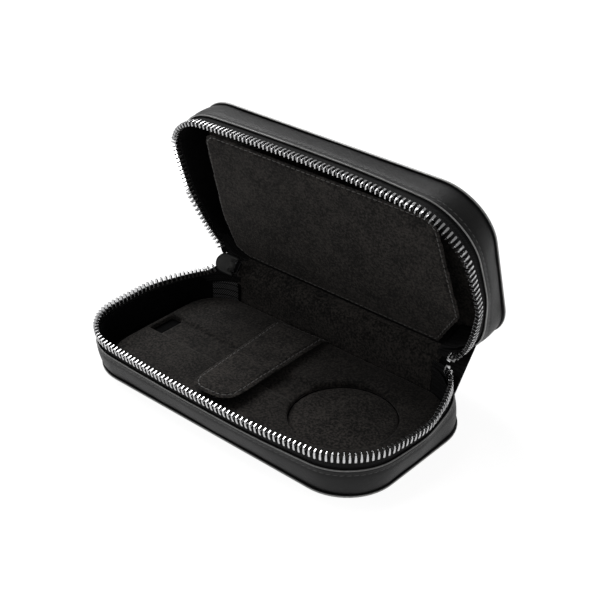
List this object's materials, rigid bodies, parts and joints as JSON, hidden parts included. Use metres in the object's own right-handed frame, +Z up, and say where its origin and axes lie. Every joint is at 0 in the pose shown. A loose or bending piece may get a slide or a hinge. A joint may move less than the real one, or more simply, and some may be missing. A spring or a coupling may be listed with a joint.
{
  "type": "zip-around jewellery case",
  "caption": "Soft leather case with a hinged zip-around lid, suede watch insert, retaining flap and a padded divider in the lid.",
  "frame": {"origin": "centre of the base's flat underside, on the surface that the case stands on", "axes": "+X along the case's length to the right, +Y from the front edge to the spine, +Z up"},
  "size_m": [0.1756, 0.1145, 0.1133],
  "materials": {
    "black_leather": "smooth, soft sheen",
    "edge_leather": "smooth with painted edges",
    "woven_tape": "herringbone weave",
    "wall_lining": "smooth matt lining cloth",
    "suede": "short brushed nap",
    "board": "plain pressed board",
    "zip_metal": "polished",
    "snap_metal": "brushed"
  },
  "bodies": {
    "base": {"base_outer_panel": "edge_leather", "base_board": "board", "base_band": "black_leather", "base_zip_tape": "woven_tape", "base_zip_teeth": "zip_metal", "base_wall_lining": "wall_lining", "base_spine_leather": "black_leather", "base_spine_suede": "suede", "base_insert": "suede", "recess_pad": "suede", "flap_anchor": "suede", "snap_stud": "snap_metal"},
    "lid": {"lid_outer_panel": "edge_leather", "lid_board": "board", "lid_band": "black_leather", "lid_zip_tape": "woven_tape", "lid_zip_teeth": "zip_metal", "lid_wall_lining": "wall_lining", "lid_spine_leather": "black_leather", "lid_spine_suede": "suede"},
    "divider": {"divider_board": "board", "divider_front_suede": "suede", "divider_back_suede": "suede"},
    "flap": {"flap_board": "board", "flap_top_suede": "suede", "flap_under_suede": "suede", "snap_socket": "snap_metal"},
    "zip_end": {"zip_end_stop": "zip_metal"},
    "slider": {"zip_slider": "zip_metal"},
    "puller": {"pull_ring": "zip_metal", "pull_tab": "edge_leather"}
  },
  "joints": [
    {"name": "lid_hinge", "type": "hinge", "parent": "base", "child": "lid", "pos_m": [0, 0.0444, 0.0218], "axis": [-1, 0, 0], "range_deg": [-73, 90]},
    {"name": "divider_hinge", "type": "hinge", "parent": "lid", "child": "divider", "pos_m": [0, 0.04805, 0.02626], "axis": [1, 0, 0], "range_deg": [0, 40]},
    {"name": "flap_hinge", "type": "hinge", "parent": "base", "child": "flap", "pos_m": [-0.0145, 0.034, 0.0073], "axis": [-0.9962, -0.0872, 0], "range_deg": [0, 78]},
    {"name": "zip_end_turn", "type": "hinge", "parent": "base", "child": "zip_end", "pos_m": [0, 0.0444, 0.0218], "axis": [-1, 0, 0], "range_deg": [-36.5, 45]},
    {"name": "slider_run", "type": "slide", "parent": "zip_end", "child": "slider", "axis": [-0.9511, -0.2484, 0.1838], "range_m": [0, 0.003]},
    {"name": "puller_hinge", "type": "hinge", "parent": "slider", "child": "puller", "pos_m": [-0.06197, 0.03901, 0.02579], "axis": [0, 0.5948, 0.8039], "range_deg": [0, 100]}
  ],
  "couplings": [
    {"joint": "zip_end_turn", "follows": "lid_hinge", "ratio": 0.5}
  ]
}
